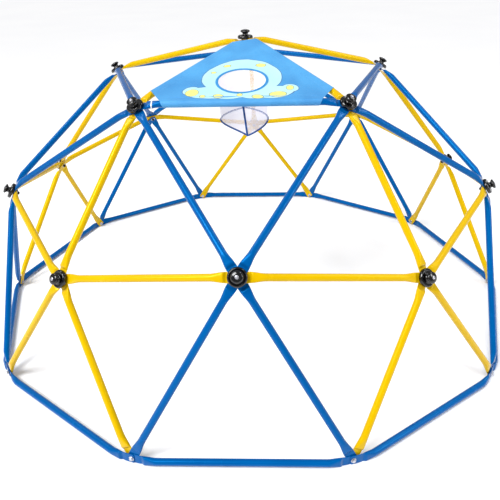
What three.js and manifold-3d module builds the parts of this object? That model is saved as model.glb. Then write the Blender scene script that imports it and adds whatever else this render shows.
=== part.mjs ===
// Dome climber: a two-frequency geodesic hemisphere of steel tubes with flattened, bolted ends,
// black hub knobs, ten ground joints, and a fabric toss panel with a mesh pouch.
// Millimetres, +Z up, the origin on the ground under the apex, the front towards -Y.
import * as THREE from 'three';
import { mergeVertices } from 'three/addons/utils/BufferGeometryUtils.js';
import Module from 'manifold-3d';

const wasm = await Module();
wasm.setup();

// ---- driving dimensions ----

// From the middle of the ground to the middle of the tabs on each kind of bolt.
const GROUND_RADIUS = 1209;
const SIX_WAY_RADIUS = 1222;     // the lower hubs between the yellow zigzags
const FIVE_WAY_RADIUS = 1189;
const UPPER_RADIUS = 1228;
const APEX_RADIUS = 1206;
const TUBE_RADIUS = 12.7;        // 25.4 mm tube
const TAB_HALF_WIDTH = 18;       // a tube's end, pressed flat
const TAB_THICKNESS = 2.2;
const TAB_GAP = 0.8;             // between neighbouring tabs on one bolt
const TAB_WELD = -0.05;          // tabs of one node run into each other
const TAB_TIP = 10;              // bolt to the tab's end
const TAB_BEND = 30;             // bolt to the bend
const TAB_BEYOND = 8;            // bend to where the flat begins to open
const TAB_ROUND = 36;            // bend to the full round tube
const TAB_INSIDE = 7.6;          // the tabs lie this much inside the round tube's axis
const HOLE_RADIUS = 5.1;
const BOLT_RADIUS = 4;
const GROUND_TO_JOINT = TAB_HALF_WIDTH;

const KNOB_RADIUS = 32.5;        // base flange
const KNOB_RIM = 13;             // its height
const KNOB_NECK_RADIUS = 11;
const KNOB_CAP_RADIUS = 20;
const KNOB_HEIGHT = 37;
const NUT_RADIUS = 8;
const NUT_HEIGHT = 9;

const SLEEVE_INNER = 13.5;
const SLEEVE_OUTER = 15.5;
const SLEEVE_FROM_APEX = 68;     // along a side tube, from the apex bolt
const SLEEVE_FROM_UPPER = 93;    // along a side tube, from an upper hub's bolt
const SLEEVE_FROM_CORNER = 92;   // along the front tube, from either upper hub's bolt
const PANEL_THICKNESS = 2;
const MOUTH_HALF_WIDTH = 89;
const MOUTH_HALF_HEIGHT = 86;
const MOUTH_UP = 142;            // front tube to the mouth's centre, up the panel
const POUCH_DEPTH = 147;
const POUCH_FRONT_DROP = 16;     // the front corner hangs this much deeper
const POUCH_SWAY = 5;            // the bottom hangs this far to the right,
const POUCH_CORNER_SWAY = 14;    // and its front corner this much further
const POUCH_MARGIN = 3;          // the pouch's rim is this much wider than the mouth all round
const POUCH_WALL = 2.5;

const TUBE_SIDES = 8;
const KNOB_SIDES = 10;
const SLEEVE_SIDES = 12;
const MOUTH_SIDES = 24;
const BOLT_SIDES = 6;

// ---- materials ----

function finish(color, roughness, metalness, name) {
  return new THREE.MeshStandardMaterial({ color, roughness, metalness, name });
}

const blueTube = finish(0x0066c4, 0.3, 0.1, 'blue_powder_coat');
const yellowTube = finish(0xffc800, 0.3, 0.1, 'yellow_powder_coat');
const knobPlastic = finish(0x0a0a0c, 0.15, 0, 'black_plastic');
const panelFabric = finish(0x4aaaf5, 0.8, 0, 'panel_fabric');
const pouchNet = finish(0xe4dee8, 0.9, 0, 'pouch_net');

// ---- the dome's points ----

const degrees = Math.PI / 180;
const GOLDEN = (1 + Math.sqrt(5)) / 2;
const UPPER_LATITUDE = Math.atan(GOLDEN);            // 58.28 degrees: the ring of five upper hubs
const SIX_WAY_LATITUDE = Math.PI / 2 - UPPER_LATITUDE; // 31.72 degrees: six-way lower hubs
const FIVE_WAY_LATITUDE = Math.atan(0.5);            // 26.57 degrees: five-way lower hubs

// A direction from the middle of the ground: azimuth is measured from the front, positive to the right.
function outward(latitude, azimuth) {
  const across = Math.cos(latitude);
  return new THREE.Vector3(across * Math.sin(azimuth), -across * Math.cos(azimuth), Math.sin(latitude));
}

const joints = {};

function addJoint(name, radius, latitude, azimuthDegrees) {
  const normal = outward(latitude, azimuthDegrees * degrees);
  const point = normal.clone().multiplyScalar(radius);
  point.z += GROUND_TO_JOINT;
  joints[name] = { name, normal, point, ends: [] };
}

addJoint('apex', APEX_RADIUS, Math.PI / 2, 0);
for (let i = 0; i < 5; i++) {
  addJoint(`upper_${i}`, UPPER_RADIUS, UPPER_LATITUDE, 36 + 72 * i);
  addJoint(`five_${i}`, FIVE_WAY_RADIUS, FIVE_WAY_LATITUDE, 36 + 72 * i);
  addJoint(`six_${i}`, SIX_WAY_RADIUS, SIX_WAY_LATITUDE, 72 * i);
}
for (let i = 0; i < 10; i++) {
  addJoint(`ground_${i}`, GROUND_RADIUS, 0, 18 + 36 * i);
}

// ---- the tubes: which joints each one runs between, and the node that it belongs to ----

const tubes = [];

function addTube(node, from, to) {
  tubes.push({ node, joints: [joints[from], joints[to]] });
}

const wrap = (i, count) => (i + count) % count;

for (let i = 0; i < 5; i++) {
  const rightSix = `six_${wrap(i + 1, 5)}`;
  addTube(`crown_tube_${i + 1}`, `upper_${i}`, `upper_${wrap(i + 1, 5)}`);
  addTube(`apex_tube_${i + 1}`, `upper_${i}`, 'apex');
  addTube(`yellow_band_${i + 1}`, `five_${i}`, `upper_${i}`);
  addTube(`yellow_band_${i + 1}`, `five_${i}`, `six_${i}`);
  addTube(`yellow_band_${i + 1}`, `five_${i}`, rightSix);
  addTube(`blue_upper_pair_${i + 1}`, `six_${i}`, `upper_${wrap(i - 1, 5)}`);
  addTube(`blue_upper_pair_${i + 1}`, `six_${i}`, `upper_${i}`);
  addTube(`blue_leg_pair_${i + 1}`, `six_${i}`, `ground_${wrap(2 * i - 1, 10)}`);
  addTube(`blue_leg_pair_${i + 1}`, `six_${i}`, `ground_${2 * i}`);
  addTube(`yellow_leg_pair_${i + 1}`, `five_${i}`, `ground_${2 * i}`);
  addTube(`yellow_leg_pair_${i + 1}`, `five_${i}`, `ground_${2 * i + 1}`);
}
for (let i = 0; i < 10; i++) {
  addTube(`ground_tube_${i + 1}`, `ground_${i}`, `ground_${wrap(i + 1, 10)}`);
}

// The order in which tabs are threaded on a bolt, from the outside in.
const threading = [
  'ground_tube', 'crown_tube', 'apex_tube', 'blue_upper_pair', 'yellow_band', 'blue_leg_pair', 'yellow_leg_pair',
];
const rank = (node) => threading.findIndex((name) => node.startsWith(name));

for (const tube of tubes) {
  tube.lift = [0, 0];
  tube.joints.forEach((joint, side) => joint.ends.push({ tube, side }));
}

// Stack the tabs on each bolt: each end's lift is its distance from the joint's point along the normal.
for (const joint of Object.values(joints)) {
  joint.ends.sort((a, b) => rank(a.tube.node) - rank(b.tube.node));
  let height = 0;
  joint.ends.forEach((end, i) => {
    if (i > 0) {
      const sameNode = joint.ends[i - 1].tube.node === end.tube.node;
      height -= TAB_THICKNESS + (sameNode ? TAB_WELD : TAB_GAP);
    }
    end.height = height;
  });
  for (const end of joint.ends) {
    end.tube.lift[end.side] = end.height - height / 2;
  }
  joint.stackHalf = -height / 2 + TAB_THICKNESS / 2;
}

// ---- solids ----

// A closed loft: quads between neighbouring rings, and a flat cap on the first and the last.
function geometryFromRings(rings) {
  const sides = rings[0].length;
  const positions = rings.flat().flatMap((p) => [p.x, p.y, p.z]);
  const index = [];
  for (let r = 0; r + 1 < rings.length; r++) {
    for (let s = 0; s < sides; s++) {
      const a = r * sides + s;
      const b = r * sides + ((s + 1) % sides);
      index.push(a, b, a + sides, b, b + sides, a + sides);
    }
  }
  const last = (rings.length - 1) * sides;
  for (let s = 1; s + 1 < sides; s++) {
    index.push(0, s + 1, s);
    index.push(last, last + s, last + s + 1);
  }
  if (signedVolume(positions, index) < 0) {
    index.reverse();
  }
  const geometry = new THREE.BufferGeometry();
  geometry.setAttribute('position', new THREE.Float32BufferAttribute(positions, 3));
  geometry.setIndex(index);
  return geometry;
}

function signedVolume(positions, index) {
  const corner = (i) => new THREE.Vector3().fromArray(positions, 3 * i);
  let total = 0;
  for (let i = 0; i < index.length; i += 3) {
    total += corner(index[i]).cross(corner(index[i + 1])).dot(corner(index[i + 2]));
  }
  return total / 6;
}

function toSolid(geometry) {
  const bare = geometry.clone();
  bare.deleteAttribute('normal');
  bare.deleteAttribute('uv');
  const merged = mergeVertices(bare, 1e-4);
  return new wasm.Manifold(new wasm.Mesh({
    numProp: 3,
    vertProperties: new Float32Array(merged.attributes.position.array),
    triVerts: new Uint32Array(merged.index.array),
  }));
}

function toGeometry(solid) {
  const mesh = solid.getMesh();
  const geometry = new THREE.BufferGeometry();
  geometry.setAttribute('position', new THREE.BufferAttribute(mesh.vertProperties, 3));
  geometry.setIndex(new THREE.BufferAttribute(mesh.triVerts, 1));
  geometry.computeVertexNormals();
  return geometry;
}

// A turned piece: points of [radius, height] from the bottom axis point to the top one, stood along normal.
function turned(points, at, normal, sides) {
  const profile = points.map(([radius, height]) => new THREE.Vector2(radius, height));
  const geometry = new THREE.LatheGeometry(profile, sides);
  const turn = new THREE.Quaternion().setFromUnitVectors(new THREE.Vector3(0, 1, 0), normal);
  geometry.applyQuaternion(turn);
  geometry.translate(at.x, at.y, at.z);
  return toSolid(geometry);
}

// A round bar between two points.
function rod(radius, from, to, sides) {
  const axis = to.clone().sub(from);
  const length = axis.length();
  return turned([[0, 0], [radius, 0], [radius, length], [0, length]], from, axis.normalize(), sides);
}

// One ring of a tube: round where flat is false, a pressed rectangle where it is true.
function tubeRing(centre, across, thick, flat) {
  const ring = [];
  for (let k = 0; k < TUBE_SIDES; k++) {
    const angle = ((k + 0.5) / TUBE_SIDES) * 2 * Math.PI;
    const sine = Math.sin(angle);
    const cosine = Math.cos(angle);
    const wide = Math.abs(sine) > Math.abs(cosine) ? 1 : 1 / 3;
    const x = flat ? Math.sign(sine) * wide * TAB_HALF_WIDTH : sine * TUBE_RADIUS;
    const y = flat ? (Math.sign(cosine) * TAB_THICKNESS) / 2 : cosine * TUBE_RADIUS;
    ring.push(centre.clone().addScaledVector(across, x).addScaledVector(thick, y));
  }
  return ring;
}

// The bolt's point, the direction of the flat tab and the bend of one end of a tube.
function tubeEnd(tube, side) {
  const joint = tube.joints[side];
  const other = tube.joints[1 - side];
  const bolt = joint.point.clone().addScaledVector(joint.normal, tube.lift[side]);
  const chord = other.point.clone().sub(joint.point);
  const along = chord.addScaledVector(joint.normal, -chord.dot(joint.normal)).normalize();
  const bend = bolt.clone().addScaledVector(along, TAB_BEND);
  return { joint, bolt, along, bend };
}

function tubeSolid(tube) {
  const ends = [tubeEnd(tube, 0), tubeEnd(tube, 1)];
  const axis = ends[1].bend.clone().sub(ends[0].bend).normalize();
  const across = ends[0].joint.normal.clone().cross(ends[0].along).normalize();
  const thickRound = axis.clone().cross(across).normalize();
  const sets = ends.map((end, side) => {
    const travel = axis.clone().multiplyScalar(side === 0 ? 1 : -1);
    const thickBend = end.joint.normal.clone().add(thickRound).normalize();
    const tip = end.bolt.clone().addScaledVector(end.along, -TAB_TIP);
    end.axis = end.bend.clone().addScaledVector(thickRound, TAB_INSIDE);
    return [
      tubeRing(tip, across, end.joint.normal, true),
      tubeRing(end.bend, across, thickBend, true),
      tubeRing(end.bend.clone().addScaledVector(travel, TAB_BEYOND), across, thickRound, true),
      tubeRing(end.axis.clone().addScaledVector(travel, TAB_ROUND), across, thickRound, false),
    ];
  });
  const rings = [...sets[0], ...sets[1].reverse()];
  const solid = toSolid(geometryFromRings(rings));
  tube.axis = [ends[0].axis, ends[1].axis];
  return solid;
}

function holeThrough(joint) {
  const reach = joint.stackHalf + 5;
  const from = joint.point.clone().addScaledVector(joint.normal, -reach);
  const to = joint.point.clone().addScaledVector(joint.normal, reach);
  return rod(HOLE_RADIUS, from, to, BOLT_SIDES);
}

// The hub: a flanged knob on the outside, the bolt through the tabs, and a cap nut on the inside.
function hubKnob(joint) {
  const seat = joint.stackHalf + TAB_GAP;
  const profile = [
    [0, -seat - NUT_HEIGHT],
    [NUT_RADIUS, -seat - NUT_HEIGHT],
    [NUT_RADIUS, -seat],
    [BOLT_RADIUS, -seat],
    [BOLT_RADIUS, seat],
    [KNOB_RADIUS, seat],
    [KNOB_RADIUS, seat + KNOB_RIM],
    [KNOB_NECK_RADIUS + 2, seat + KNOB_RIM + 1],
    [KNOB_NECK_RADIUS, seat + KNOB_HEIGHT * 0.6],
    [KNOB_CAP_RADIUS, seat + KNOB_HEIGHT * 0.83],
    [KNOB_CAP_RADIUS * 0.8, seat + KNOB_HEIGHT * 0.95],
    [0, seat + KNOB_HEIGHT],
  ];
  return turned(profile, joint.point, joint.normal, KNOB_SIDES);
}

// The bolt and nut of a ground joint; it stays in the tab of the first ground tube.
function groundBolt(joint) {
  const seat = joint.stackHalf + TAB_GAP;
  const profile = [
    [0, -seat - 8], [7, -seat - 8], [7, -seat], [BOLT_RADIUS, -seat],
    [BOLT_RADIUS, seat], [8, seat], [6, seat + 4], [0, seat + 5],
  ];
  return turned(profile, joint.point, joint.normal, BOLT_SIDES);
}

// ---- the toss panel ----

const axisPoint = (tube, side, fromBolt) => {
  const [a, b] = side === 0 ? tube.axis : [tube.axis[1], tube.axis[0]];
  const direction = b.clone().sub(a).normalize();
  return a.clone().addScaledVector(direction, fromBolt - TAB_BEND);
};

// The plane through the middles of three tubes, with its own across and up directions.
function panelFrame(right, left, front) {
  const middles = [right, left, front].map((tube) => tube.axis[0].clone().add(tube.axis[1]).multiplyScalar(0.5));
  const foot = middles[2];
  const normal = middles[0].clone().sub(foot).cross(middles[1].clone().sub(foot)).normalize();
  const across = new THREE.Vector3(1, 0, 0).addScaledVector(normal, -normal.x).normalize();
  const up = normal.clone().cross(across);
  return { across, up, normal, foot };
}

// The mouth's oval, at a height above the plane of the three tubes.
function mouthRing(frame, height) {
  const centre = frame.foot.clone().addScaledVector(frame.up, MOUTH_UP).addScaledVector(frame.normal, height);
  return Array.from({ length: MOUTH_SIDES }, (_, k) => {
    const angle = (k / MOUTH_SIDES) * 2 * Math.PI;
    return centre.clone()
      .addScaledVector(frame.across, MOUTH_HALF_WIDTH * Math.cos(angle))
      .addScaledVector(frame.up, MOUTH_HALF_HEIGHT * Math.sin(angle));
  });
}

function tossPanel(right, left, front, frame) {
  const sleeves = [
    [axisPoint(right, 1, SLEEVE_FROM_APEX), axisPoint(right, 0, SLEEVE_FROM_UPPER)],
    [axisPoint(front, 1, SLEEVE_FROM_CORNER), axisPoint(front, 0, SLEEVE_FROM_CORNER)],
    [axisPoint(left, 0, SLEEVE_FROM_UPPER), axisPoint(left, 1, SLEEVE_FROM_APEX)],
  ];
  const corners = sleeves.flat();
  const raise = (height) => corners.map((p) => p.clone().addScaledVector(frame.normal, height));
  const top = SLEEVE_OUTER + 0.1;
  let solid = toSolid(geometryFromRings([raise(top), raise(top - PANEL_THICKNESS)]));
  for (const [from, to] of sleeves) {
    solid = solid.add(rod(SLEEVE_OUTER, from, to, SLEEVE_SIDES));
  }
  for (const [from, to] of sleeves) {
    const reach = to.clone().sub(from).normalize().multiplyScalar(30);
    solid = solid.subtract(rod(SLEEVE_INNER, from.clone().sub(reach), to.clone().add(reach), SLEEVE_SIDES));
  }
  const cutter = [0, 40].map((height) => mouthRing(frame, height));
  return solid.subtract(toSolid(geometryFromRings(cutter)));
}

// ---- the mesh pouch: an oval mouth, a lens-shaped bottom, hanging straight down ----

function tossPouch(frame) {
  const mouth = frame.foot.clone().addScaledVector(frame.up, MOUTH_UP)
    .addScaledVector(frame.normal, SLEEVE_OUTER - PANEL_THICKNESS - 0.4);
  const sides = 16;
  const signedPower = (value, power) => Math.sign(value) * Math.pow(Math.abs(value), power);
  const ring = (share, inward, lift) => {
    const points = [];
    for (let k = 0; k < sides; k++) {
      const angle = (k / sides) * 2 * Math.PI;
      const front = Math.max(0, -Math.sin(angle)) ** 2;
      const sideways = signedPower(Math.cos(angle), 2 / (2 - 0.9 * share));
      const fore = signedPower(Math.sin(angle), 2 / (2 - 0.3 * share));
      const grow = POUCH_MARGIN - inward;
      const sway = share * (POUCH_SWAY + POUCH_CORNER_SWAY * front);
      const point = mouth.clone()
        .addScaledVector(frame.across, (MOUTH_HALF_WIDTH + grow) * sideways + sway)
        .addScaledVector(frame.up, (MOUTH_HALF_HEIGHT + grow) * fore);
      point.z += lift - share * (POUCH_DEPTH + POUCH_FRONT_DROP * front);
      points.push(point);
    }
    return points;
  };
  const outer = [1, 0.7, 0.35, 0].map((share) => ring(share, 0, 0));
  const inner = [0, 0.35, 0.7, 1].map((share) => ring(share, POUCH_WALL, share * POUCH_WALL));
  return toSolid(geometryFromRings([...outer, ...inner]));
}

// ---- the assembly ----

const group = new THREE.Group();

function addNode(name, solid, material) {
  const mesh = new THREE.Mesh(toGeometry(solid), material);
  mesh.name = name;
  group.add(mesh);
}

const solids = new Map();
for (const tube of tubes) {
  const solid = tubeSolid(tube);
  const before = solids.get(tube.node);
  solids.set(tube.node, before ? before.add(solid) : solid);
}

for (const [node, whole] of solids) {
  const own = tubes.filter((tube) => tube.node === node);
  const bolted = new Set(own.flatMap((tube) => tube.joints));
  const isGround = node.startsWith('ground_tube');
  if (isGround) {
    bolted.delete(own[0].joints[0]);
  }
  let solid = whole;
  for (const joint of bolted) {
    solid = solid.subtract(holeThrough(joint));
  }
  if (isGround) {
    solid = solid.add(groundBolt(own[0].joints[0]));
  }
  const isYellow = node.startsWith('yellow') || node.startsWith('apex');
  addNode(node, solid, isYellow ? yellowTube : blueTube);
}

addNode('hub_knob_apex', hubKnob(joints.apex), knobPlastic);
for (let i = 0; i < 5; i++) {
  addNode(`hub_knob_upper_${i + 1}`, hubKnob(joints[`upper_${i}`]), knobPlastic);
  addNode(`hub_knob_five_${i + 1}`, hubKnob(joints[`five_${i}`]), knobPlastic);
  addNode(`hub_knob_six_${i + 1}`, hubKnob(joints[`six_${i}`]), knobPlastic);
}

const tubeOf = (node) => tubes.find((tube) => tube.node === node);
const panelTubes = [tubeOf('apex_tube_1'), tubeOf('apex_tube_5'), tubeOf('crown_tube_5')];
const frame = panelFrame(...panelTubes);
addNode('toss_panel', tossPanel(...panelTubes, frame), panelFabric);
addNode('toss_pouch', tossPouch(frame), pouchNet);

export default group;
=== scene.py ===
# %% [markdown]
# # A dome climber, piece by piece
# The object is a playground dome: 65 steel tubes in two lengths, bolted together at 16 hubs and
# 10 ground joints, with a printed cloth panel and a net pouch held in one triangle near the top.
# Each cell below makes one kind of piece as arrays of points worked out with numpy, and the cell
# before it says what the piece is and why it is made that way. Everything is in metres, +Z is up,
# and the front of the dome looks towards -Y.

import bpy
import numpy as np
from mathutils import Matrix


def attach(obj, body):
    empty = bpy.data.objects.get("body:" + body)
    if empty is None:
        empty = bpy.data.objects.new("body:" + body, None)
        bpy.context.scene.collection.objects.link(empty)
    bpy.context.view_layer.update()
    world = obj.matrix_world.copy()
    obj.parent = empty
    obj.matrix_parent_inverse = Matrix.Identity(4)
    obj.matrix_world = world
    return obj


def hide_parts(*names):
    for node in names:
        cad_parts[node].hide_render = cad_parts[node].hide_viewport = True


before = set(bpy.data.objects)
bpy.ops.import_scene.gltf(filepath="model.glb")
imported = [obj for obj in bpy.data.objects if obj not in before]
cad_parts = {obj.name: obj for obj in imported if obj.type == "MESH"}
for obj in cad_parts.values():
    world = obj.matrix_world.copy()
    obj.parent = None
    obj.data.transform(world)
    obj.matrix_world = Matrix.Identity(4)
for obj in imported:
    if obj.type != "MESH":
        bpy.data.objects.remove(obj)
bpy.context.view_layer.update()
print("solid parts:", len(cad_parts))

# %% [markdown]
# ## Camera
# A product shot of a thing this size is taken standing, at eye height. The camera looks down by
# about 25 degrees from 2.85 m away. Shift slides the picture without tilting the view, as a
# view camera does. A matrix with the three axes of the camera as columns is the plainest way to
# place it: right, up, and back, away from what it looks at.

# %% camera
CAMERA_TURN = np.radians(2.33)
CAMERA_RISE = np.radians(24.85)
CAMERA_ROLL = np.radians(-1.41)
CAMERA_DISTANCE = 2.853
CAMERA_AIM = np.array([0, 0, 0.384])
CAMERA_LENS = 41.79
CAMERA_SHIFT = (0.0006, -0.0658)


def unit(vector):
    """A vector divided by its own length."""
    return vector / np.linalg.norm(vector, axis=-1, keepdims=True)


def place_camera():
    """Back = the direction from the aim to the camera; right = up x back, turned by the roll."""
    flat = np.cos(CAMERA_RISE)
    back = np.array([np.sin(CAMERA_TURN) * flat, -np.cos(CAMERA_TURN) * flat, np.sin(CAMERA_RISE)])
    level = unit(np.cross([0, 0, 1], back))
    upright = np.cross(back, level)
    right = np.cos(CAMERA_ROLL) * level + np.sin(CAMERA_ROLL) * upright
    up = np.cross(back, right)
    data = bpy.data.cameras.new("camera")
    data.lens = CAMERA_LENS
    data.shift_x, data.shift_y = CAMERA_SHIFT
    data.clip_end = 60
    camera = bpy.data.objects.new("camera", data)
    bpy.context.collection.objects.link(camera)
    matrix = np.eye(4)
    matrix[:3, :3] = np.column_stack([right, up, back])
    matrix[:3, 3] = CAMERA_AIM + back * CAMERA_DISTANCE
    camera.matrix_world = Matrix(matrix.tolist())
    bpy.context.scene.camera = camera
    return camera


camera = place_camera()
bpy.context.scene.view_settings.view_transform = "Standard"
print("camera at", [round(value, 3) for value in camera.matrix_world.translation])

# %% [markdown]
# ## From arrays to meshes
# A loft joins neighbouring rings of points with quads, and either closes both ends or joins them
# into a loop. A turned piece is a loft whose rings are circles round an axis, and a cord is one
# whose rings are small circles along a path. The signed volume, a sum over the quads, tells
# whether the faces look outwards, and if it is negative the faces are turned round.


# %% mesh helpers
def make_piece(name, points, faces, material, sharp=40):
    """A mesh object at the origin, smooth except along edges sharper than an angle in degrees."""
    mesh = bpy.data.meshes.new(name)
    mesh.from_pydata(points.tolist(), [], faces)
    mesh.polygons.foreach_set("use_smooth", np.ones(len(mesh.polygons), dtype=bool))
    mesh.set_sharp_from_angle(angle=np.radians(sharp))
    mesh.materials.append(material)
    mesh.update()
    piece = bpy.data.objects.new(name, mesh)
    bpy.context.collection.objects.link(piece)
    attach(piece, "root")
    return piece


def grid_quads(rows, columns, wrap_columns, wrap_rows=False):
    """The quads of a grid of points: each joins a point, its right neighbour, and the two below."""
    last_row = rows if wrap_rows else rows - 1
    last_column = columns if wrap_columns else columns - 1
    row, column = np.meshgrid(np.arange(last_row), np.arange(last_column), indexing="ij")
    below, beside = (row + 1) % rows, (column + 1) % columns
    this_row, next_row = row * columns, below * columns
    corners = [this_row + column, this_row + beside, next_row + beside, next_row + column]
    return np.stack(corners, axis=-1).reshape(-1, 4)


def signed_volume(points, quads):
    """A sixth of the sum of corner . (next corner x the one after), over both halves of each quad."""
    a, b, c, d = (points[quads[:, k]] for k in range(4))
    halves = (a * np.cross(b, c)).sum(axis=1) + (a * np.cross(c, d)).sum(axis=1)
    return halves.sum() / 6


def loft(name, rings, material, closed_path=False, sharp=40):
    """A skin over rings of points (ring, side, xyz), closed at its ends or joined into a loop."""
    count, sides, _ = rings.shape
    points = rings.reshape(-1, 3)
    quads = grid_quads(count, sides, wrap_columns=True, wrap_rows=closed_path)
    centred = points - points.mean(axis=0)
    inside_out = signed_volume(centred, quads) < 0
    faces = (quads[:, ::-1] if inside_out else quads).tolist()
    if not closed_path:
        first, last = list(range(sides)), list(range((count - 1) * sides, count * sides))
        faces += [first, last[::-1]] if inside_out else [first[::-1], last]
    return make_piece(name, points, faces, material, sharp)


def soften(profile, radius, steps=5):
    """Rounds the corners of a profile: each becomes a curve that starts and ends a radius away."""
    profile = np.asarray(profile, dtype=float)
    before, corner, after = profile[:-2], profile[1:-1], profile[2:]
    reach_back = np.minimum(radius, 0.45 * np.linalg.norm(before - corner, axis=1))[:, None]
    reach_on = np.minimum(radius, 0.45 * np.linalg.norm(after - corner, axis=1))[:, None]
    start, end = corner + unit(before - corner) * reach_back, corner + unit(after - corner) * reach_on
    share = np.linspace(0, 1, steps)[None, :, None]
    curve = (1 - share) ** 2 * start[:, None] + share**2 * end[:, None]
    curve = curve + 2 * share * (1 - share) * corner[:, None]
    return np.vstack([profile[:1], curve.reshape(-1, 2), profile[-1:]])


def turn_on_axis(name, profile, point, axis, material, segments=48, flats=0, sharp=40):
    """A turned piece: (radius, height) pairs carried round an axis. With flats, the outline has
    that many straight sides, because the radius is divided by the cosine of the angle from the
    middle of the nearest side."""
    profile = np.asarray(profile, dtype=float)
    axis = np.asarray(axis, dtype=float)
    helper = np.array([0, 0, 1.0]) if abs(axis[2]) < 0.9 else np.array([0, 1.0, 0])
    east = unit(np.cross(helper, axis))
    north = np.cross(axis, east)
    angle = np.arange(segments) / segments * 2 * np.pi
    stretch = np.ones(segments)
    if flats:
        half = np.pi / flats
        stretch = np.cos(half) / np.cos((angle % (2 * half)) - half)
    ways = east * np.cos(angle)[:, None] + north * np.sin(angle)[:, None]
    rings = point + axis * profile[:, 1, None, None] + (profile[:, 0, None] * stretch)[..., None] * ways
    return loft(name, rings, material, sharp=sharp)


def cord_along(path, radius, side, closed=False, sides=10, flatten=1.0):
    """Rings of a round cord along a path: at each point two directions across it, one near to
    side and one square to both, are scaled by the cosine and sine of an angle."""
    path = np.asarray(path, dtype=float)
    if closed:
        tangent = unit(np.roll(path, -1, axis=0) - np.roll(path, 1, axis=0))
    else:
        tangent = unit(np.gradient(path, axis=0))
    side = np.broadcast_to(side, path.shape)
    across = unit(side - (side * tangent).sum(axis=1, keepdims=True) * tangent)
    other = np.cross(tangent, across)
    angle = np.arange(sides) / sides * 2 * np.pi
    wide = across[:, None] * np.cos(angle)[:, None] * flatten
    return path[:, None] + radius * (wide + other[:, None] * np.sin(angle)[:, None])


print("mesh helpers ready")

# %% [markdown]
# ## Finishes
# A finish is a small network of nodes. All of them start from a Principled shader. Colours are
# given as a paint chart gives them, 0 to 255, and turned into the linear numbers that a renderer
# needs. Patterns are read from Object coordinates, or on the two cloths from an attribute of the
# mesh, and both are metres on the real thing.


# %% material helpers
def paint(red, green, blue):
    """An 0-255 colour made linear: ((share + 0.055) / 1.055) to the power 2.4."""
    share = np.array([red, green, blue]) / 255
    linear = np.where(share <= 0.04045, share / 12.92, ((share + 0.055) / 1.055) ** 2.4)
    return (*linear.tolist(), 1.0)


class Finish:
    """One material under construction, with short ways to add and join its nodes."""

    def __init__(self, name, color, roughness, metallic=0.0):
        self.material = bpy.data.materials.new(name)
        self.material.use_nodes = True
        self.tree = self.material.node_tree
        self.shader = self.tree.nodes["Principled BSDF"]
        self.shader.inputs["Base Color"].default_value = color
        self.shader.inputs["Roughness"].default_value = roughness
        self.shader.inputs["Metallic"].default_value = metallic
        self.place = self.add("ShaderNodeTexCoord").outputs["Object"]

    def add(self, kind, **settings):
        node = self.tree.nodes.new(kind)
        for key, value in settings.items():
            setattr(node, key, value)
        return node

    def join(self, source, target):
        if isinstance(source, bpy.types.NodeSocket):
            self.tree.links.new(source, target)
        else:
            target.default_value = source

    def math(self, operation, *values):
        node = self.add("ShaderNodeMath", operation=operation)
        for value, socket in zip(values, node.inputs):
            self.join(value, socket)
        return node.outputs[0]

    def vector(self, operation, *values):
        node = self.add("ShaderNodeVectorMath", operation=operation)
        for value, socket in zip(values, node.inputs):
            self.join(value, socket)
        return node.outputs["Value" if operation == "LENGTH" else "Vector"]

    def noise(self, scale, detail=3.0, place=None):
        node = self.add("ShaderNodeTexNoise")
        node.inputs["Scale"].default_value = scale
        node.inputs["Detail"].default_value = detail
        self.join(place or self.place, node.inputs["Vector"])
        return node.outputs["Fac"]

    def spread(self, value, low, high, to_low=0.0, to_high=1.0):
        """Moves the range low..high of a value onto to_low..to_high, and holds it there."""
        node = self.add("ShaderNodeMapRange")
        for socket, number in zip(node.inputs[1:5], (low, high, to_low, to_high)):
            socket.default_value = number
        self.join(value, node.inputs[0])
        return node.outputs[0]

    def blend(self, share, under, over):
        node = self.add("ShaderNodeMix", data_type="RGBA")
        self.join(share, node.inputs[0])
        self.join(under, node.inputs[6])
        self.join(over, node.inputs[7])
        return node.outputs[2]

    def color(self, source):
        self.join(source, self.shader.inputs["Base Color"])

    def roughness(self, source):
        self.join(source, self.shader.inputs["Roughness"])

    def bump(self, height, depth, strength=1.0):
        node = self.add("ShaderNodeBump")
        node.inputs["Distance"].default_value = depth
        node.inputs["Strength"].default_value = strength
        self.join(height, node.inputs["Height"])
        self.join(node.outputs[0], self.shader.inputs["Normal"])

    def set(self, **numbers):
        for name, value in numbers.items():
            self.shader.inputs[name.replace("_", " ")].default_value = value


print("material helpers ready")

# %% [markdown]
# ### Powder coat
# The tubes are sprayed with a dry powder and baked. That skin is glossy and even, with a faint
# orange peel of bumps a millimetre or two across and slow drifts in shade where it lies thicker.
# Handling leaves patches a shade deeper. One function makes both colours, so they share one
# character.


# %% powder coat
def powder_coat(name, color, deep, tint):
    """Slow noise mixes the colour with a deeper one, and a patchy one mixes in a little more; a
    third moves the roughness, and the orange peel is a fourth, used as height. The gloss is
    tinted by the pigment."""
    coat = Finish(name, color, 0.3)
    drift = coat.spread(coat.noise(5.0), 0.35, 0.7)
    handled = coat.spread(coat.noise(38.0, 5.0), 0.56, 0.72, 0.0, 0.12)
    shade = coat.blend(drift, color, deep)
    coat.color(coat.blend(handled, shade, deep))
    coat.roughness(coat.spread(coat.noise(24.0, 4.0), 0.3, 0.75, 0.2, 0.3))
    coat.bump(coat.noise(620.0, 2.0), 0.0002, 0.2)
    coat.set(Specular_Tint=tint, Specular_IOR_Level=0.6)
    return coat.material


blue_coat = powder_coat("blue_powder_coat", paint(0, 83, 150), paint(0, 77, 143), paint(40, 170, 255))
yellow_coat = powder_coat("yellow_powder_coat", paint(211, 172, 0), paint(205, 165, 0), paint(255, 226, 90))
print("powder coats:", blue_coat.name, yellow_coat.name)

# %% [markdown]
# ### Moulded plastic and plated steel
# The knobs are black plastic from a polished mould: nearly mirror smooth, with a faint ripple
# where the plastic shrank. The bolts are bright zinc, which dulls in small cloudy spangles. The
# cap nuts on the inside are steel blackened in oil.


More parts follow.
